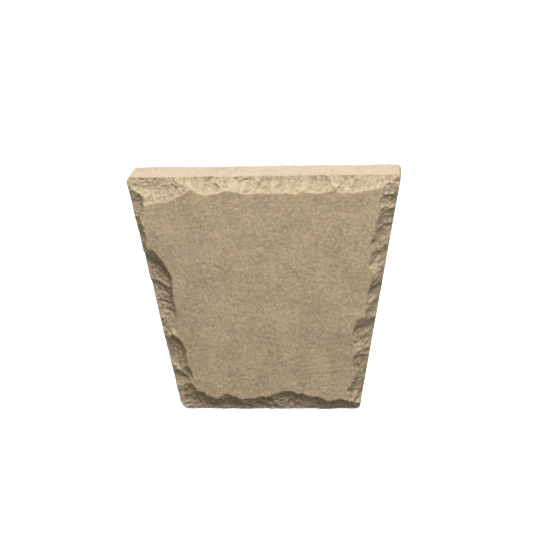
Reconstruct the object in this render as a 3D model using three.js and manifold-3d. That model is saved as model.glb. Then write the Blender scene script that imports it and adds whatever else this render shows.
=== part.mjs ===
// Keystone: the wedge stone at the crown of an arch, cast as one piece.
// Its face is a flat dressed panel. Round the panel the edge is pitched off,
// flake by flake, down to a rough margin that stands back from the face.
//
// Millimetres, +Z up. X runs across the stone, Y from the face to the back.
// The origin is in the middle of the underside.

import * as THREE from "three";
import { mergeVertices } from "three/addons/utils/BufferGeometryUtils.js";
import Module from "manifold-3d";

// Driving dimensions of the wedge
const TOP_WIDTH = 305;
const FOOT_WIDTH = 203;
const HEIGHT = 273;
const THICKNESS = 64;
const CAST_EDGE = 2.5; // rounding of the arrises at the back
const TOP_CORNER = 6; // rounding of the outline at both top corners
const LEFT_FOOT_CORNER = 10; // worn rounder than the rest
const RIGHT_FOOT_CORNER = 4;

// How far behind the face the rim stands, where only the plain margin is off and under a flake
const MARGIN_DROP = 11.5;
const FLAKE_DROP = 13;

// Smoothness of a flake's hollow
const FLAKE_SEGMENTS = 40;
const FLAKE_RINGS = 20;

const STONE = new THREE.MeshStandardMaterial({
  name: "buff_cast_stone",
  color: 0xa9977b,
  roughness: 0.9,
  metalness: 0,
});

const FACE_Y = -THICKNESS / 2;
const TAPER = (TOP_WIDTH - FOOT_WIDTH) / 2;
const SLOPE_UP = new THREE.Vector2(TAPER, HEIGHT).normalize();

// The four sides of the face. Each has a point to measure from, the direction along it,
// the direction inward over the face, how hollow its flakes are (sagitta over chord),
// the width of the plain margin under the flakes, its flakes, and the chips in its flakes.
// A flake: [place along the side, half length, reach over the face, loss of reach along the side if any].
// A chip: [place of its top, fall of that per unit inward, height of its steep face, depth, length].
const SIDES = {
  top: {
    from: new THREE.Vector2(0, HEIGHT),
    along: new THREE.Vector2(1, 0),
    inward: new THREE.Vector2(0, -1),
    hollow: 0.07,
    margin: 12,
    flakes: [
      [-150, 85, 30],
      [-60, 30, 18],
      [-20, 33, 18],
      [11, 32, 18],
      [37, 24, 17],
      [60, 30, 17],
      [100, 34, 18.4],
      [164, 36, 46],
    ],
    chips: [],
  },
  left: {
    from: new THREE.Vector2(-FOOT_WIDTH / 2, 0),
    along: new THREE.Vector2(-SLOPE_UP.x, SLOPE_UP.y),
    inward: new THREE.Vector2(SLOPE_UP.y, SLOPE_UP.x),
    hollow: 0.16,
    margin: 7,
    flakes: [
      [18, 22, 24],
      [40, 17, 24],
      [66, 29, 22],
      [125, 38, 23.3],
      [152, 44.5, 25.2],
      [212, 17, 9],
      [250, 25, 16],
    ],
    chips: [
      [55, 1.1, 4, 1.4, 26],
      [92, 1.1, 4, 1.3, 30],
      [118.5, 2, 9, 2.4, 24],
      [159, 0.5, 7, 4.5, 44],
      [191.5, 1, 3, 4.5, 30],
    ],
  },
  right: {
    from: new THREE.Vector2(FOOT_WIDTH / 2, 0),
    along: new THREE.Vector2(SLOPE_UP.x, SLOPE_UP.y),
    inward: new THREE.Vector2(-SLOPE_UP.y, SLOPE_UP.x),
    hollow: 0.04,
    margin: 10,
    flakes: [
      [25, 35, 16.3],
      [58, 40, 15.3],
      [94, 36, 20.5],
      [136, 60, 12.5],
      [192, 39, 20],
      [214, 60, 17],
      [247, 14, 19],
    ],
    chips: [
      [22.5, 0.7, 2, 1, 14],
      [34, 0.7, 2, 1, 12],
      [49.5, 0.5, 7, 2.6, 26],
      [67, 0.3, 2, 1, 15],
      [98.5, 0.4, 2.5, 1.5, 22],
      [113, 0.4, 9, 3, 26],
      [136, 0.5, 3, 1.6, 20],
      [154.5, 0.6, 3, 1.8, 17],
      [169, 0.6, 2, 1.5, 15],
      [194.7, 0.1, 6, 3, 24],
      [223, 0.5, 2, 2.4, 24],
      [230.7, 0.4, 2, 2.2, 13],
      [242.3, 0.8, 2, 2.2, 16],
    ],
  },
  foot: {
    from: new THREE.Vector2(0, 0),
    along: new THREE.Vector2(1, 0),
    inward: new THREE.Vector2(0, 1),
    hollow: 0.18,
    margin: 12,
    flakes: [
      [-82, 75, 26, 0.3],
      [-43, 22, 20, 0.25],
      [-9, 30, 18, 0.05],
      [25, 26, 25, 0.1],
      [40, 42, 22, 0.24],
      [86, 45, 13.5],
    ],
    chips: [],
  },
};
const CHIP_REACH = 40; // over the whole width of a margin
const OVERLAP = 0.1; // of two cuts that meet

const wasm = await Module();
wasm.setup();

// A closed three.js geometry as a solid that can be cut.
function solidOf(geometry) {
  const bare = geometry.clone();
  bare.deleteAttribute("normal");
  bare.deleteAttribute("uv");
  const merged = mergeVertices(bare, 1e-4);
  return new wasm.Manifold(
    new wasm.Mesh({
      numProp: 3,
      vertProperties: new Float32Array(merged.attributes.position.array),
      triVerts: new Uint32Array(merged.index.array),
    }),
  );
}

// A cut solid as a three.js geometry.
function geometryOf(solid) {
  const mesh = solid.getMesh();
  const geometry = new THREE.BufferGeometry();
  geometry.setAttribute("position", new THREE.BufferAttribute(mesh.vertProperties, 3));
  geometry.setIndex(new THREE.BufferAttribute(mesh.triVerts, 1));
  geometry.computeVertexNormals();
  return geometry;
}

// The wedge's outline with its corners rounded, drawn with height as the shape's Y.
function wedgeOutline() {
  const corners = [
    { x: -FOOT_WIDTH / 2, y: 0, radius: LEFT_FOOT_CORNER },
    { x: FOOT_WIDTH / 2, y: 0, radius: RIGHT_FOOT_CORNER },
    { x: TOP_WIDTH / 2, y: HEIGHT, radius: TOP_CORNER },
    { x: -TOP_WIDTH / 2, y: HEIGHT, radius: TOP_CORNER },
  ];
  const outline = new THREE.Shape();
  corners.forEach((corner, i) => {
    const here = new THREE.Vector2(corner.x, corner.y);
    const before = corners[(i + corners.length - 1) % corners.length];
    const after = corners[(i + 1) % corners.length];
    const towards = (other) => new THREE.Vector2(other.x, other.y).sub(here).setLength(corner.radius);
    const start = here.clone().add(towards(before));
    const end = here.clone().add(towards(after));
    if (i === 0) outline.moveTo(start.x, start.y);
    else outline.lineTo(start.x, start.y);
    outline.quadraticCurveTo(here.x, here.y, end.x, end.y);
  });
  outline.closePath();
  return outline;
}

// The whole wedge before its edge is pitched off, standing on its foot.
function wedge() {
  const geometry = new THREE.ExtrudeGeometry(wedgeOutline(), {
    depth: THICKNESS - 2 * CAST_EDGE,
    curveSegments: 4,
    bevelThickness: CAST_EDGE,
    bevelSize: CAST_EDGE,
    bevelOffset: -CAST_EDGE,
    bevelSegments: 3,
  });
  geometry.translate(0, 0, CAST_EDGE);
  geometry.rotateX(Math.PI / 2);
  geometry.translate(0, THICKNESS / 2, 0);
  return solidOf(geometry);
}

// The frame of a cut on the face: its X goes across a side, its Y along it, and its Z along the depth.
function cutFrame(across, along) {
  const x = new THREE.Vector3(across.x, 0, across.y);
  const y = new THREE.Vector3(along.x, 0, along.y);
  return new THREE.Matrix4().makeBasis(x, y, new THREE.Vector3().crossVectors(x, y));
}

// What one blow takes off: a ball drawn out along the side. Its section passes through the
// break on the face and the new rim on the side, and it runs out at the flake's two ends.
function flake(side, drop, at, half, reach, loss = 0) {
  const chord = Math.hypot(reach, drop);
  const sagitta = side.hollow * chord;
  const radius = (chord ** 2 / 4 + sagitta ** 2) / (2 * sagitta);
  const offChord = radius - sagitta;
  const inward = reach / 2 - (offChord * drop) / chord;
  const depth = drop / 2 - (offChord * reach) / chord;
  const toEdge = Math.hypot(inward, depth);
  const halfAxis = (half * radius) / Math.sqrt(radius ** 2 - toEdge ** 2);

  const ball = new THREE.SphereGeometry(1, FLAKE_SEGMENTS, FLAKE_RINGS);
  ball.scale(radius, halfAxis, radius);
  ball.applyMatrix4(cutFrame(side.inward, side.along.clone().addScaledVector(side.inward, -loss)));
  const middle = side.from.clone().addScaledVector(side.along, at).addScaledVector(side.inward, inward);
  ball.translate(middle.x, FACE_Y + depth, middle.y);
  return solidOf(ball);
}

// All that the blows take off a side: the plain margin along its whole length, and its flakes.
function pitchedOff(side) {
  const plain = flake(side, MARGIN_DROP, HEIGHT / 2, 3 * TOP_WIDTH, side.margin);
  const flakes = side.flakes.map((blow) => flake(side, FLAKE_DROP, ...blow));
  return wasm.Manifold.union([plain, ...flakes]);
}

// What is off a side already between two places along it, moved back by one amount at the upper place
// and another at the lower, with a slope between. Both places are lines that fall by the slant inward.
function movedBack(side, taken, slant, upper, lower) {
  const across = side.inward.clone().addScaledVector(side.along, -slant);
  const middle = side.from.clone().addScaledVector(side.along, (upper.place + lower.place) / 2);
  const slab = new THREE.BoxGeometry(2 * CHIP_REACH, upper.place - lower.place + OVERLAP, THICKNESS);
  slab.applyMatrix4(cutFrame(across, side.along));
  slab.translate(middle.x, FACE_Y, middle.y);

  const uphill = side.along.clone().addScaledVector(side.inward, slant);
  const slope = (upper.back - lower.back) / (upper.place - lower.place);
  const level = lower.back - slope * (uphill.dot(side.from) + lower.place);
  const shift = new THREE.Matrix4().set(
    1, 0, 0, 0,
    slope * uphill.x, 1, slope * uphill.y, level,
    0, 0, 1, 0,
    0, 0, 0, 1,
  );
  return solidOf(geometryOf(taken.intersect(solidOf(slab))).applyMatrix4(shift));
}

// One chip goes back steeply from its top, and eases out again below.
function chip(side, taken, top, slant, steep, depth, length) {
  const start = { place: top, back: 0 };
  const deepest = { place: top - steep, back: depth };
  const end = { place: top - length, back: 0 };
  return [movedBack(side, taken, slant, start, deepest), movedBack(side, taken, slant, deepest, end)];
}

function keystone() {
  let stone = wedge();
  for (const side of Object.values(SIDES)) {
    const taken = pitchedOff(side);
    const chips = side.chips.flatMap((values) => chip(side, taken, ...values));
    stone = stone.subtract(wasm.Manifold.union([taken, ...chips]));
  }
  const mesh = new THREE.Mesh(geometryOf(stone), STONE);
  mesh.name = "keystone";
  return mesh;
}

const part = new THREE.Group();
part.add(keystone());

export default part;
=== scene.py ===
"""A keystone of buff cast stone, standing on its foot: a dressed face inside a flaked margin.

The stone is worked out in millimetres in the part's own frame, and becomes metres as its mesh is made.
"""

import math

import bpy
import numpy as np
from mathutils import Matrix, Vector, noise


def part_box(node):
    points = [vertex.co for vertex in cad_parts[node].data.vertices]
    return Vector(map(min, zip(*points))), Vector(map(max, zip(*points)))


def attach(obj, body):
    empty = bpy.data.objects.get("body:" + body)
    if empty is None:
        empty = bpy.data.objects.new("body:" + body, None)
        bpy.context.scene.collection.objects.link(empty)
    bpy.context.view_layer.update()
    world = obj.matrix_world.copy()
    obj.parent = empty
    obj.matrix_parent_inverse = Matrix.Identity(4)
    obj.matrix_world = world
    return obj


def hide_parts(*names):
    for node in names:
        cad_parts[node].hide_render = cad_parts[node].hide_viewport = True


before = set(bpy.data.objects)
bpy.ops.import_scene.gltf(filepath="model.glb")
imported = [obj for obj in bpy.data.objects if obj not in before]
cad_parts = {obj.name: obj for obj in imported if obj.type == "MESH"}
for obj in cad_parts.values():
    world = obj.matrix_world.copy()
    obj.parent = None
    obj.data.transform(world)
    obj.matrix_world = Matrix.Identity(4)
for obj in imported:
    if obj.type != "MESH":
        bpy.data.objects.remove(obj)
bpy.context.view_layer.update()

# Sizes of the wedge
MM = 0.001
LOW, HIGH = (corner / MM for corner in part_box("keystone"))
TOP_WIDTH = 305
FOOT_WIDTH = 203
HEIGHT = HIGH.z
FACE_Y = LOW.y
BACK_Y = HIGH.y
TAPER = (TOP_WIDTH - FOOT_WIDTH) / 2
SLOPE = math.hypot(TAPER, HEIGHT)
LEAN, RISE = TAPER / SLOPE, HEIGHT / SLOPE
BACK_EDGE = 2.5  # rounding of the arrises at the back
TOP_CORNER = 6
LEFT_FOOT_CORNER = 10
RIGHT_FOOT_CORNER = 4

# The mesh of the face, closer set in the margin, and the rings of the sides behind it
COLUMNS = 240
ROWS = 288
MARGIN_BAND = 34
BAND_END = 1.5 * MARGIN_BAND
MARGIN_CLOSENESS = 1.5
GRADING_STEPS = 2000
SIDE_RINGS = 24
EDGE_RINGS = 4
BACK_STEP = 4

# How far behind the face the rim stands, where only the plain margin is off and under a flake
MARGIN_DROP = 11.5
FLAKE_DROP = 13
MARGIN_HALF = 3 * TOP_WIDTH  # half length of the plain margin's cut, well past the ends of a side
CHIP_FADE = 4  # depth of a flake at which its chips are whole

# The four sides of the face, with the same flakes and chips as the part's solid.
# Hollow is a flake's sagitta over its chord, margin the width of the plain margin under the flakes,
# and stray the share of the wander in its break lines.
# A flake: (place along the side, half length, reach over the face, loss of reach along it if any).
# A chip: (place of its top, fall of that per unit inward, height of its steep face, depth, length).
SIDES = {
    "top": {
        "start": (0, HEIGHT), "along": (1, 0), "inward": (0, -1),
        "hollow": 0.07, "margin": 12, "stray": 0.7,
        "flakes": [
            (-150, 85, 30), (-60, 30, 18), (-20, 33, 18), (11, 32, 18),
            (37, 24, 17), (60, 30, 17), (100, 34, 18.4), (164, 36, 46),
        ],
        "chips": [],
    },
    "left": {
        "start": (-FOOT_WIDTH / 2, 0), "along": (-LEAN, RISE), "inward": (RISE, LEAN),
        "hollow": 0.16, "margin": 7, "stray": 0.5,
        "flakes": [
            (18, 22, 24), (40, 17, 24), (66, 29, 22), (125, 38, 23.3),
            (152, 44.5, 25.2), (212, 17, 9), (250, 25, 16),
        ],
        "chips": [
            (55, 1.1, 4, 1.4, 26), (92, 1.1, 4, 1.3, 30), (118.5, 2, 9, 2.4, 24),
            (159, 0.5, 7, 4.5, 44), (191.5, 1, 3, 4.5, 30),
        ],
    },
    "right": {
        "start": (FOOT_WIDTH / 2, 0), "along": (LEAN, RISE), "inward": (-RISE, LEAN),
        "hollow": 0.04, "margin": 10, "stray": 0.7,
        "flakes": [
            (25, 35, 16.3), (58, 40, 15.3), (94, 36, 20.5),
            (136, 60, 12.5), (192, 39, 20), (214, 60, 17), (247, 14, 19),
        ],
        "chips": [
            (22.5, 0.7, 2, 1, 14), (34, 0.7, 2, 1, 12), (49.5, 0.5, 7, 2.6, 26),
            (67, 0.3, 2, 1, 15), (98.5, 0.4, 2.5, 1.5, 22), (113, 0.4, 9, 3, 26),
            (136, 0.5, 3, 1.6, 20), (154.5, 0.6, 3, 1.8, 17), (169, 0.6, 2, 1.5, 15),
            (194.7, 0.1, 6, 3, 24), (223, 0.5, 2, 2.4, 24), (230.7, 0.4, 2, 2.2, 13),
            (242.3, 0.8, 2, 2.2, 16),
        ],
    },
    "foot": {
        "start": (0, 0), "along": (1, 0), "inward": (0, 1),
        "hollow": 0.18, "margin": 12, "stray": 0.7,
        "flakes": [
            (-82, 75, 26, 0.3), (-43, 22, 20, 0.25), (-9, 30, 18, 0.05),
            (25, 26, 25, 0.1), (40, 42, 22, 0.24), (86, 45, 13.5),
        ],
        "chips": [],
    },
}

# Scratches on the face, and ridges and cracks in the margin: (x, z) of one end and of the other
SCRATCHES = [((-45, 41), (-37, 46)), ((-34, 42.5), (-28, 44)), ((-55, 172), (-48, 168.5))]
SCRATCH_WIDTH = 1.6
SCRATCH_DEPTH = 0.8
RIDGES = [
    ((-50, 12.5), (-41, 15)), ((-28.5, 11.5), (-20, 5)), ((14, 8), (26, 15)),
    ((25, 4), (38, 16)), ((-110, 56), (-90, 40)), ((94, 8), (101, 26)),
]
RIDGE_WIDTH = 3.2
RIDGE_HEIGHT = 1.6
CRACKS = [
    ((-100, 265), (-96, 261)), ((-60.5, 269), (-56.5, 272)), ((-30.5, 270), (-25.5, 266)),
    ((-25.5, 266), (-21, 269)), ((-21, 269), (-13, 269)), ((-4.5, 262), (0.5, 268)),
    ((131.5, 252.5), (139.5, 250.5)), ((123, 243.5), (126.5, 242)),
    ((-122.5, 142.5), (-109, 138.5)), ((-121.5, 130), (-107.5, 126)),
    ((-118.5, 120), (-105, 118)), ((-118, 100.5), (-105.5, 90)),
]
CRACK_WIDTH = 2
CRACK_DEPTH = 2

# How each side broke: (size of its ridges along the side and inward, height, slant, crumbliness)
BREAKS = {
    "top": (9, 9, 0.8, 0.35, 0.6),
    "left": (8, 7, 0.6, 0, 1.3),
    "right": (7, 7, 0.5, 0.35, 1.15),
    "foot": (12, 10, 1.9, 0.6, 1.4),
}
RIDGE_OCTAVES = 2
COARSE_SHIFT = 11
FINER_SHIFT = 31
FINER = 2.3  # how many times smaller the finer ridges are
FINER_SHARE = 0.35
SIDE_EASE = 4  # rounds of easing where two sides' breaks meet
RIM_ROUGHNESS = 0.4  # share of the roughness at the rim
RIM_FADE = 5  # distance from the rim at which the roughness is whole

# Where the front counts as broken, by its depth, and how deep a full hollow is
BROKEN_FROM = 0.1
BROKEN_TO = 1.6
HOLLOW_DEPTH = 0.8
HOLLOW_EASE = 12

# Layers of noise: (height, size of its features, octaves, shift that gives a pattern of its own)
STRAY_X = [(2.6, 15, 2, 0), (0.5, 4, 2, 3.1)]
STRAY_Z = [(2.6, 15, 2, 7.7), (0.5, 4, 2, 5.3)]
CRUMBS = [(0.45, 3.4, 2, 2.2), (0.24, 1.8, 1, 9.1)]
DRESSING = [(0.25, 55, 2, 4.4), (0.13, 3.4, 2, 6.6)]
RIPPLES = [(0.16, 17, 2, 12.4)]
RIPPLE_STRETCH = 1.6
CASTING = [(0.3, 45, 2, 1.3), (0.12, 5, 2, 8.2)]
NIBBLES = [(0.9, 6, 2, 2.9)]
BACK_PITS = [(0.25, 9, 3, 3.7)]
NOISE_GAIN = 2  # brings Blender's noise to about -1 to 1
OCTAVE_FALL = 1  # how fast its finer octaves weaken, and how many times finer each is
OCTAVE_STEP = 2

# The cast sides and back
NIBBLE_REACH = 3  # how far behind the rim the nibbles fade
WEAR_REACH = 2  # how far behind the rim its broken look fades
FOOT_FROM = 0.7  # downward part of the normal where the foot begins, and where it is whole
FOOT_TO = 0.9
BACK_SINK = 0.25  # keeps the back's pits and bumps inside the stone's thickness


def half_width(z):
    """Half the width of the wedge at a height."""
    return FOOT_WIDTH / 2 + TAPER * z / HEIGHT


def soft_step(low, high, value):
    """0 at low, 1 at high and beyond, and a smooth change between."""
    t = np.clip((value - low) / (high - low), 0, 1)
    return t * t * (3 - 2 * t)


def noise_at(x, y, z, layers):
    """The sum of a few layers of smooth noise at arrays of points."""
    points = np.stack(np.broadcast_arrays(x, y, z), -1)
    total = np.zeros(points.shape[:-1])
    for height, size, octaves, shift in layers:
        places = points.reshape(-1, 3) / size + shift
        values = [noise.fractal(Vector(p), OCTAVE_FALL, OCTAVE_STEP, octaves) for p in places]
        total += NOISE_GAIN * height * np.array(values).reshape(total.shape)
    return total


def graded(count, length):
    """count + 1 places from 0 to 1, closer together within the margin at both ends."""
    t = np.linspace(0, 1, GRADING_STEPS + 1)
    from_end = np.minimum(t, 1 - t) * length
    past_margin = soft_step(MARGIN_BAND, BAND_END, from_end)
    density = MARGIN_CLOSENESS - (MARGIN_CLOSENESS - 1) * past_margin
    total = np.concatenate([[0], np.cumsum((density[1:] + density[:-1]) / 2)])
    return np.interp(np.linspace(0, total[-1], count + 1), total, t)


def round_corners(x, z):
    """Pulls a grid over the wedge in at the outline's corners, where squares become quarter discs."""
    corners = (
        (False, -1, LEFT_FOOT_CORNER),
        (False, 1, RIGHT_FOOT_CORNER),
        (True, -1, TOP_CORNER),
        (True, 1, TOP_CORNER),
    )
    for at_top, hand, radius in corners:
        from_bed = HEIGHT - z if at_top else z
        from_side = (half_width(z) - hand * x) * RISE
        a = np.clip(1 - from_side / radius, 0, 1)
        b = np.clip(1 - from_bed / radius, 0, 1)
        inside = (a > 0) & (b > 0)
        bed = radius * (1 - b * np.sqrt(1 - a * a / 2))
        side = radius * (1 - a * np.sqrt(1 - b * b / 2))
        new_z = HEIGHT - bed if at_top else bed
        new_x = hand * (half_width(new_z) - side / RISE)
        x = np.where(inside, new_x, x)
        z = np.where(inside, new_z, z)
    return x, z


def face_grid():
    """x and z of the face's grid of columns and rows, out to the wedge's outline."""
    across = 2 * graded(COLUMNS, (TOP_WIDTH + FOOT_WIDTH) / 2) - 1
    up = graded(ROWS, HEIGHT) * HEIGHT
    x = across[:, None] * half_width(up)[None, :]
    z = np.repeat(up[None, :], COLUMNS + 1, axis=0)
    return round_corners(x, z)


def side_places(side, x, z):
    """Places along a side and inward from it."""
    dx, dz = x - side["start"][0], z - side["start"][1]
    along = dx * side["along"][0] + dz * side["along"][1]
    inward = dx * side["inward"][0] + dz * side["inward"][1]
    return along, inward


def flake_depth(side, x, z, drop, at, half, reach, loss=0):
    """How far one flake cuts behind the face: a ball drawn out along the side, -1 outside it."""
    along, inward = side_places(side, x, z)
    inward = inward + loss * (along - at)
    chord = math.hypot(reach, drop)
    sagitta = side["hollow"] * chord
    radius = (chord**2 / 4 + sagitta**2) / (2 * sagitta)
    off_chord = radius - sagitta
    centre_in = reach / 2 - off_chord * drop / chord
    centre_back = drop / 2 - off_chord * reach / chord
    to_edge = math.hypot(centre_in, centre_back)
    half_axis = half * radius / math.sqrt(radius**2 - to_edge**2)
    section = radius**2 * (1 - ((along - at) / half_axis) ** 2) - (inward - centre_in) ** 2
    return np.where(section > 0, centre_back + np.sqrt(np.maximum(section, 0)), -1)


def chip_depth(side, x, z):
    """How much further back than its flakes a side's chips go: steep above, easing out below."""
    along, inward = side_places(side, x, z)
    depth = np.zeros_like(x)
    for top, slant, steep, deepest, length in side["chips"]:
        below = top - along - slant * inward
        rise = np.minimum(below / steep, (length - below) / (length - steep))
        depth = np.maximum(depth, deepest * rise)
    return depth


def flaked_margin(x, z):
    """Depth behind the face with margin, flakes and chips off, and the number of the side it is of."""
    stray_x, stray_z = noise_at(x, 0, z, STRAY_X), noise_at(x, 0, z, STRAY_Z)
    cuts = []
    for side in SIDES.values():
        to_x, to_z = x + side["stray"] * stray_x, z + side["stray"] * stray_z
        depth = flake_depth(side, to_x, to_z, MARGIN_DROP, HEIGHT / 2, MARGIN_HALF, side["margin"])
        for blow in side["flakes"]:
            depth = np.maximum(depth, flake_depth(side, to_x, to_z, FLAKE_DROP, *blow))
        chips = soft_step(0, CHIP_FADE, depth) * chip_depth(side, to_x, to_z)
        cuts.append(np.maximum(depth, 0) + chips)
    return np.max(cuts, axis=0), np.argmax(cuts, axis=0)


def ease(values, times=1):
    """Averages a grid with its neighbours a few times."""
    for _ in range(times):
        padded = np.pad(values, 1, mode="edge")
        values = (padded[:-2, 1:-1] + padded[2:, 1:-1] + padded[1:-1, :-2] + padded[1:-1, 2:]) / 4
    return values


def ridged(u, v, size_u, size_v, shift):
    """Sharp ridges between smooth hollows, about -1 to 1, drawn out by its two sizes."""
    return 1 - 2 * np.abs(noise_at(u / size_u, 0, v / size_v, [(1, 1, RIDGE_OCTAVES, shift)]))


def strokes(x, z, lines, width):
    """1 along the middle of a set of lines, falling to 0 at their width."""
    stroke = np.zeros_like(x)
    for (ax, az), (bx, bz) in lines:
        dx, dz = bx - ax, bz - az
        share = np.clip(((x - ax) * dx + (z - az) * dz) / (dx * dx + dz * dz), 0, 1)
        away = np.hypot(x - ax - share * dx, z - az - share * dz)
        stroke = np.maximum(stroke, soft_step(width, 0, away))
    return stroke


def side_ridges(along, inward, size_along, size_in, slant, number):
    """The ridges of one side's break: coarse ones, and finer ones that slant the other way."""
    coarse = ridged(along + slant * inward, inward, size_along, size_in, COARSE_SHIFT + number)
    finer_along, finer_in = size_along / FINER, size_in / FINER
    finer = ridged(along - slant * inward, inward, finer_along, finer_in, FINER_SHIFT + number)
    return (1 - FINER_SHARE) * coarse + FINER_SHARE * finer


def break_roughness(x, z, depth, owner):
    """How far the broken surface stands out of its flakes, by the way each side broke."""
    crumbs = noise_at(x, depth, z, CRUMBS)
    rough = np.zeros_like(x)
    from_rim = np.full_like(x, np.inf)
    for number, (name, side) in enumerate(SIDES.items()):
        size_along, size_in, height, slant, crumbly = BREAKS[name]
        along, inward = side_places(side, x, z)
        own = ease((owner == number).astype(float), SIDE_EASE)
        ridges = side_ridges(along, inward, size_along, size_in, slant, number)
        rough += own * (height * ridges + crumbly * crumbs)
        from_rim = np.minimum(from_rim, inward)
    rough += RIDGE_HEIGHT * strokes(x, z, RIDGES, RIDGE_WIDTH)
    rough *= RIM_ROUGHNESS + (1 - RIM_ROUGHNESS) * soft_step(0, RIM_FADE, from_rim)
    return rough - CRACK_DEPTH * strokes(x, z, CRACKS, CRACK_WIDTH)


def dressed_depth(x, z):
    """The slight unevenness of the dressed face, and its scratches."""
    uneven = noise_at(x, 0, z, DRESSING) + noise_at(x / RIPPLE_STRETCH, 0, z, RIPPLES)
    return uneven + SCRATCH_DEPTH * strokes(x, z, SCRATCHES, SCRATCH_WIDTH)


def face_surface():
    """x, depth and z of the finished front, with how broken and how hollow it is at each place."""
    x, z = face_grid()
    depth, owner = flaked_margin(x, z)
    broken = soft_step(BROKEN_FROM, BROKEN_TO, ease(depth))
    rough = break_roughness(x, z, depth, owner)
    depth = depth - broken * rough + (1 - broken) * dressed_depth(x, z)
    # how far each place lies behind or stands out of its eased surroundings; the material turns this
    # into painted shade in the hollows and painted light on the ridges
    hollow = np.clip((depth - ease(depth, HOLLOW_EASE)) / HOLLOW_DEPTH, -1, 1)
    return x, depth, z, broken, hollow


class Mesh:
    """Points with what the material reads at them, and faces, gathered as the stone is built."""

    def __init__(self):
        self.points, self.faces = [], []
        self.readings = {"broken": [], "hollow": [], "skin": []}
        self.count = 0

    def add(self, x, y, z, broken=0.0, hollow=0.0, skin=1.0):
        """Adds points and returns their numbers in the shape of x."""
        shape = np.shape(x)
        self.points.append(np.stack(np.broadcast_arrays(x, y, z), -1).reshape(-1, 3))
        for name, value in (("broken", broken), ("hollow", hollow), ("skin", skin)):
            self.readings[name].append(np.broadcast_to(value, shape).ravel())
        numbers = self.count + np.arange(np.prod(shape)).reshape(shape)
        self.count += numbers.size
        return numbers

    def fill(self, *corners):
        """Faces whose corners are given as arrays of point numbers."""
        self.faces += np.stack(corners, -1).reshape(-1, len(corners)).tolist()

    def sheet(self, numbers, forward):
        """Faces over a grid of points, looking along -Y if forward and +Y if not."""
        a, b, c, d = numbers[:-1, :-1], numbers[1:, :-1], numbers[1:, 1:], numbers[:-1, 1:]
        self.fill(*((a, b, c, d) if forward else (d, c, b, a)))

    def band(self, front, back):
        """Faces between a ring and one behind it, of as many points or half as many."""
        after = np.roll(back, -1)
        if len(back) == len(front):
            self.fill(front, back, after, np.roll(front, -1))
        else:
            even, odd = front[::2], front[1::2]
            self.fill(even, back, odd)
            self.fill(back, after, odd)
            self.fill(odd, after, np.roll(even, -1))


def edge_of(grid):
    """The values round the edge of a grid, anticlockwise from the lower left as the face is seen."""
    return np.concatenate([grid[:-1, 0], grid[-1, :-1], grid[:0:-1, -1], grid[0, :0:-1]])


def outward(x, z):
    """Unit normals out of a closed outline."""
    dx, dz = np.roll(x, -1) - np.roll(x, 1), np.roll(z, -1) - np.roll(z, 1)
    length = np.hypot(dx, dz)
    return dz / length, -dx / length


def side_ring(x, y, z, inset, behind_rim):
    """One ring of the sides, as cast: slightly uneven, flat at the foot, nibbled behind the rim."""
    nx, nz = outward(x, z)
    uneven = noise_at(x, y, z, CASTING)
    nibble = np.maximum(0, noise_at(x, y, z, NIBBLES)) * np.exp(-behind_rim / NIBBLE_REACH)
    on_foot = soft_step(FOOT_FROM, FOOT_TO, -nz)
    out = uneven - nibble - inset - on_foot * np.maximum(0, uneven)
    return x + nx * out, z + nz * out


def add_sides(mesh, rim, x, y, z):
    """Adds the cast sides and their rounded back edge, and returns the numbers of the last ring.

    rim has the numbers of the points on the front's edge; x, y and z are the places of every other one.
    """
    edge_y = BACK_Y - BACK_EDGE
    rings = [(y + (edge_y - y) * share, 0) for share in np.linspace(0, 1, SIDE_RINGS + 1)[1:]]
    for turn in np.linspace(0, math.pi / 2, EDGE_RINGS + 1)[1:-1]:
        rings.append((edge_y + BACK_EDGE * math.sin(turn), BACK_EDGE * (1 - math.cos(turn))))
    ring = rim
    for ring_y, inset in rings:
        ring_x, ring_z = side_ring(x, ring_y, z, inset, ring_y - y)
        behind = mesh.add(ring_x, ring_y, ring_z, np.exp(-(ring_y - y) / WEAR_REACH))
        mesh.band(ring, behind)
        ring = behind
    return ring


def add_back(mesh, ring, x, z):
    """Adds the cast back inside the last ring, from every few points of the face's grid."""
    back_x = x[::BACK_STEP, ::BACK_STEP] * (1 - BACK_EDGE / (FOOT_WIDTH / 2))
    back_z = BACK_EDGE + z[::BACK_STEP, ::BACK_STEP] * (HEIGHT - 2 * BACK_EDGE) / HEIGHT
    back_y = BACK_Y - BACK_SINK - noise_at(back_x, 0, back_z, BACK_PITS)
    back = mesh.add(back_x, back_y, back_z)
    mesh.sheet(back, forward=False)
    mesh.band(ring, edge_of(back))


def stone_mesh():
    """The whole stone: the carved front, the cast sides with their rounded edge, and the back."""
    mesh = Mesh()
    x, depth, z, broken, hollow = face_surface()
    y = FACE_Y + depth
    front = mesh.add(x, y, z, broken, hollow, skin=0)
    mesh.sheet(front, forward=True)
    every_other_place = [edge_of(values)[::2] for values in (x, y, z)]
    ring = add_sides(mesh, edge_of(front), *every_other_place)
    add_back(mesh, ring, x, z)
    return mesh


def make_stone():
    """The stone as one Blender object in metres, with what its material reads as attributes."""
    built = stone_mesh()
    data = bpy.data.meshes.new("keystone_stone")
    data.from_pydata((np.concatenate(built.points) * MM).tolist(), [], built.faces)
    for name, values in built.readings.items():
        attribute = data.attributes.new(name, "FLOAT", "POINT")
        attribute.data.foreach_set("value", np.concatenate(values).astype(np.float32))
    data.shade_smooth()
    data.validate()
    stone = bpy.data.objects.new("keystone_stone", data)
    bpy.context.collection.objects.link(stone)
    return stone


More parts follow.
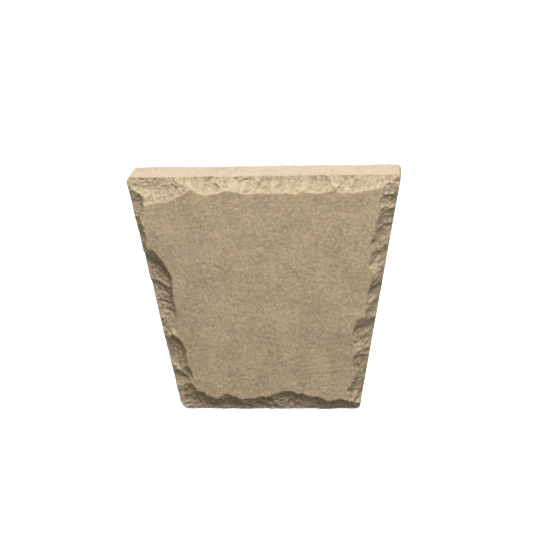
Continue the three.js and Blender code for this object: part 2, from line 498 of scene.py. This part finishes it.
class Nodes:
    """Short ways to add and join the nodes of a material."""

    def __init__(self, name):
        self.material = bpy.data.materials.new(name)
        self.material.use_nodes = True
        self.tree = self.material.node_tree
        self.shader = self.tree.nodes["Principled BSDF"]

    def put(self, socket, value):
        """Joins another node's output to a socket, or sets the socket to a value."""
        if isinstance(value, bpy.types.NodeSocket):
            self.tree.links.new(value, socket)
        else:
            socket.default_value = value

    def new(self, kind, inputs=None, **settings):
        """A node with its settings, and with what goes into its named inputs."""
        node = self.tree.nodes.new(kind)
        for key, value in settings.items():
            setattr(node, key, value)
        for name, value in (inputs or {}).items():
            self.put(node.inputs[name], value)
        return node

    def place(self):
        """Where a point is on the object, in metres."""
        return self.new("ShaderNodeTexCoord").outputs["Object"]

    def attribute(self, name):
        """What the mesh says at a point."""
        return self.new("ShaderNodeAttribute", attribute_name=name).outputs["Fac"]

    def noise(self, size, detail, roughness=0.5, swirl=0.0):
        """Noise from 0 to 1 with features of a size in metres, and swirled if asked."""
        inputs = {
            "Vector": self.place(), "Scale": 1 / size, "Detail": detail,
            "Roughness": roughness, "Distortion": swirl,
        }
        return self.new("ShaderNodeTexNoise", inputs).outputs["Fac"]

    def cells(self, size):
        """Distance to the middle of the nearest grain, and a grey of its own for each grain."""
        node = self.new("ShaderNodeTexVoronoi", {"Vector": self.place(), "Scale": 1 / size})
        return node.outputs["Distance"], node.outputs["Color"]

    def math(self, operation, a, b):
        """A sum, difference or product."""
        node = self.new("ShaderNodeMath", operation=operation)
        self.put(node.inputs[0], a)
        self.put(node.inputs[1], b)
        return node.outputs["Value"]

    def span(self, value, low, high, to_low=0.0, to_high=1.0):
        """A value mapped from one span to another, and held at its ends."""
        inputs = {
            "Value": value, "From Min": low, "From Max": high,
            "To Min": to_low, "To Max": to_high,
        }
        return self.new("ShaderNodeMapRange", inputs).outputs["Result"]

    def mix(self, share, a, b, blend="MIX"):
        """Two colours mixed."""
        node = self.new("ShaderNodeMix", data_type="RGBA", blend_type=blend)
        for name, value in (("Factor_Float", share), ("A_Color", a), ("B_Color", b)):
            self.put(next(s for s in node.inputs if s.identifier == name), value)
        return next(s for s in node.outputs if s.identifier == "Result_Color")

    def grey(self, value):
        """A colour with one value in all its channels."""
        inputs = {"Red": value, "Green": value, "Blue": value}
        return self.new("ShaderNodeCombineColor", inputs).outputs["Color"]

    def bump(self, height, strength, distance, under=None):
        """A normal bent by a height, on top of the bump under it if there is one."""
        inputs = {"Height": height, "Strength": strength, "Distance": distance}
        node = self.new("ShaderNodeBump", inputs)
        if under is not None:
            self.put(node.inputs["Normal"], under)
        return node.outputs["Normal"]


# The stone's colours
BUFF = (0.447, 0.357, 0.229, 1)
MAUVE_BUFF = (0.438, 0.348, 0.236, 1)
YELLOW_BUFF = (0.472, 0.382, 0.237, 1)
ROSE_BUFF = (0.446, 0.35, 0.227, 1)
BROKEN_BUFF = (0.44, 0.356, 0.242, 1)
CAST_SKIN = (0.475, 0.395, 0.288, 1)
PALE_GRAIN = (0.6, 0.475, 0.31, 1)
DARK_GRAIN = (0.22, 0.172, 0.111, 1)

# Its noises: (size in metres, detail, and roughness and swirl where they aren't plain)
CLOUD = (0.034, 3)
PATCHES = (0.05, 2)
MOTTLE = (0.007, 3)
SAND = (0.003, 5, 0.75, 0.5)
GRIT = (0.0032, 3)
CRAGS = (0.004, 4, 0.65, 0.8)
GRAIN_SIZE = 0.0023

# The span of a noise, a distance or a grey over which each thing comes in
CLOUD_TINT_SPAN = (0.36, 0.64)
CLOUD_LIGHT_SPAN = (0.3, 0.7)
MOTTLE_SPAN = (0.3, 0.7)
PATCH_SPAN = (0.55, 0.68)
SPECK_EDGE = (0.22, 0.34)
PALE_GREYS = (0.8, 0.86)
DARK_GREYS = (0.22, 0.16)
SAND_LIGHT_SPAN = (0.25, 0.75)
SAND_ROUGH_SPAN = (0.2, 0.8)

# How strong each thing is, and each bump's strength and height in metres
SPECK_SHARE = 0.6
BROKEN_SHARE = 0.6
SKIN_SHARE = 0.85
SAND_CONTRAST = 0.45
CLOUD_CONTRAST = 0.08
# strength of the painted shade in the hollows of the break and the painted light on its ridges
PAINTED_HOLLOW_SHADE = 0.13
ROUGHNESS = (0.82, 0.97)
SPECULAR = 0.25
SAND_BUMP = (0.8, 0.0008)
GRIT_BUMP = (0.35, 0.0009)
CRAG_BUMP = (0.25, 0.0014)


def stone_tint(n, cloud, broken):
    """Cloudy tints with pale and dark specks, evener where broken and on the cast skin."""
    tint = n.mix(n.span(cloud, *CLOUD_TINT_SPAN), ROSE_BUFF, YELLOW_BUFF)
    tint = n.mix(n.span(n.noise(*MOTTLE), *MOTTLE_SPAN), BUFF, tint)
    tint = n.mix(n.span(n.noise(*PATCHES), *PATCH_SPAN), tint, MAUVE_BUFF)
    grain_distance, grain_grey = n.cells(GRAIN_SIZE)
    is_speck = n.span(grain_distance, *SPECK_EDGE, 1, 0)
    for greys, colour in ((PALE_GREYS, PALE_GRAIN), (DARK_GREYS, DARK_GRAIN)):
        share = n.math("MULTIPLY", is_speck, n.span(grain_grey, *greys, 0, SPECK_SHARE))
        tint = n.mix(share, tint, colour)
    tint = n.mix(n.math("MULTIPLY", broken, BROKEN_SHARE), tint, BROKEN_BUFF)
    return n.mix(n.math("MULTIPLY", n.attribute("skin"), SKIN_SHARE), tint, CAST_SKIN)


def stone_light(n, cloud, sand, broken):
    """How light the tint is: sandy and cloudy, with painted shade in the hollows of the break and
    painted light on its ridges.
    """
    sandy = n.span(sand, *SAND_LIGHT_SPAN, 1 - SAND_CONTRAST, 1 + SAND_CONTRAST)
    cloudy = n.span(cloud, *CLOUD_LIGHT_SPAN, -CLOUD_CONTRAST, CLOUD_CONTRAST)
    # painted shade: darker where the break is hollow, lighter where it stands out, as its relief would
    # be shaded and lit
    shade = n.span(n.attribute("hollow"), -1, 1, -PAINTED_HOLLOW_SHADE, PAINTED_HOLLOW_SHADE)
    return n.math("SUBTRACT", n.math("ADD", sandy, cloudy), n.math("MULTIPLY", broken, shade))


def stone_bump(n, sand, broken):
    """Sand and grit all over, and crags where the stone is broken."""
    fine = n.bump(sand, *SAND_BUMP)
    grit = n.bump(n.noise(*GRIT), *GRIT_BUMP, fine)
    crags = n.math("MULTIPLY", broken, n.span(n.noise(*CRAGS), 0, 1, -1, 1))
    return n.bump(crags, *CRAG_BUMP, grit)


def stone_material():
    """Buff cast stone: matt, sandy, cloudy in its tint, rougher where it is broken, with painted shade
    in the hollows of the break and painted light on its ridges.
    """
    n = Nodes("buff_cast_stone")
    broken, cloud, sand = n.attribute("broken"), n.noise(*CLOUD), n.noise(*SAND)
    tint, light = stone_tint(n, cloud, broken), stone_light(n, cloud, sand, broken)
    n.put(n.shader.inputs["Base Color"], n.mix(1.0, tint, n.grey(light), "MULTIPLY"))
    n.put(n.shader.inputs["Roughness"], n.span(sand, *SAND_ROUGH_SPAN, *ROUGHNESS))
    n.put(n.shader.inputs["Specular IOR Level"], SPECULAR)
    n.put(n.shader.inputs["Normal"], stone_bump(n, sand, broken))
    return n.material


# The floor: matt, and glowing almost white
FLOOR_HALF = 60
FLOOR_COLOUR = (0.5, 0.5, 0.5, 1)
FLOOR_ROUGHNESS = 0.9
FLOOR_GLOW = 0.95
WHITE = (1, 1, 1, 1)


def make_floor():
    """A plain pale floor that the stone stands on, whose glow lights nothing else."""
    data = bpy.data.meshes.new("floor")
    quarters = ((-1, -1), (1, -1), (1, 1), (-1, 1))
    corners = [(FLOOR_HALF * x, FLOOR_HALF * y, 0) for x, y in quarters]
    data.from_pydata(corners, [], [(0, 1, 2, 3)])
    floor = bpy.data.objects.new("floor", data)
    bpy.context.collection.objects.link(floor)
    n = Nodes("pale_floor")
    n.put(n.shader.inputs["Base Color"], FLOOR_COLOUR)
    n.put(n.shader.inputs["Roughness"], FLOOR_ROUGHNESS)
    n.put(n.shader.inputs["Emission Color"], WHITE)
    n.put(n.shader.inputs["Emission Strength"], FLOOR_GLOW)
    data.materials.append(n.material)
    floor.visible_diffuse = False
    return floor


# Lights: (name, place, width of its disc, watts), all turned to the middle of the stone
LIGHTS = [
    ("overhead", (0.12, -0.75, 2.0), 2.0, 56),
    ("front_fill", (0.5, -1.7, 1.3), 1.6, 17),
    ("back_fill", (0.9, 1.5, 1.2), 1.6, 14),
    ("left_fill", (-1.8, 0.9, 1.0), 1.6, 14),
]
LIGHT_AIM = Vector((0, 0, 0.13))
ROOM_COLOUR = (1, 0.88, 0.75, 1)
ROOM_STRENGTH = 0.16


def area_light(name, place, width, watts):
    """A round soft light."""
    light = bpy.data.lights.new(name, "AREA")
    light.shape = "DISK"
    light.size = width
    light.energy = watts
    lamp = bpy.data.objects.new(name, light)
    bpy.context.collection.objects.link(lamp)
    lamp.location = place
    lamp.rotation_euler = (LIGHT_AIM - Vector(place)).to_track_quat("-Z", "Y").to_euler()


def light_scene():
    """Soft light from above and in front, weaker ones round about, and a weak even light."""
    for values in LIGHTS:
        area_light(*values)
    world = bpy.data.worlds.new("studio")
    world.use_nodes = True
    background = world.node_tree.nodes["Background"]
    background.inputs["Color"].default_value = ROOM_COLOUR
    background.inputs["Strength"].default_value = ROOM_STRENGTH
    bpy.context.scene.world = world


# Camera: where the photo was taken from, as seen from the point in the middle of its frame
CAMERA_AIM = Vector((0.0022, 0.0066, 0.1573))
CAMERA_AZIMUTH = math.radians(5.5)
CAMERA_ELEVATION = math.radians(16.37)
CAMERA_ROLL = math.radians(1.94)
CAMERA_DISTANCE = 2.0
CAMERA_LENS = 117.8
SENSOR_WIDTH = 36


def make_camera():
    """The scene's camera, at the photo's angle."""
    data = bpy.data.cameras.new("camera")
    data.lens = CAMERA_LENS
    data.sensor_width = SENSOR_WIDTH
    camera = bpy.data.objects.new("camera", data)
    bpy.context.collection.objects.link(camera)
    back = Vector((
        math.sin(CAMERA_AZIMUTH) * math.cos(CAMERA_ELEVATION),
        -math.cos(CAMERA_AZIMUTH) * math.cos(CAMERA_ELEVATION),
        math.sin(CAMERA_ELEVATION),
    ))
    turn = back.to_track_quat("Z", "Y").to_matrix().to_4x4() @ Matrix.Rotation(-CAMERA_ROLL, 4, "Z")
    camera.matrix_world = Matrix.Translation(CAMERA_AIM + back * CAMERA_DISTANCE) @ turn
    bpy.context.scene.camera = camera


make_camera()
light_scene()
bpy.context.scene.view_settings.view_transform = "Standard"
make_floor()

stone = make_stone()
stone.data.materials.append(stone_material())
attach(stone, "root")
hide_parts("keystone")
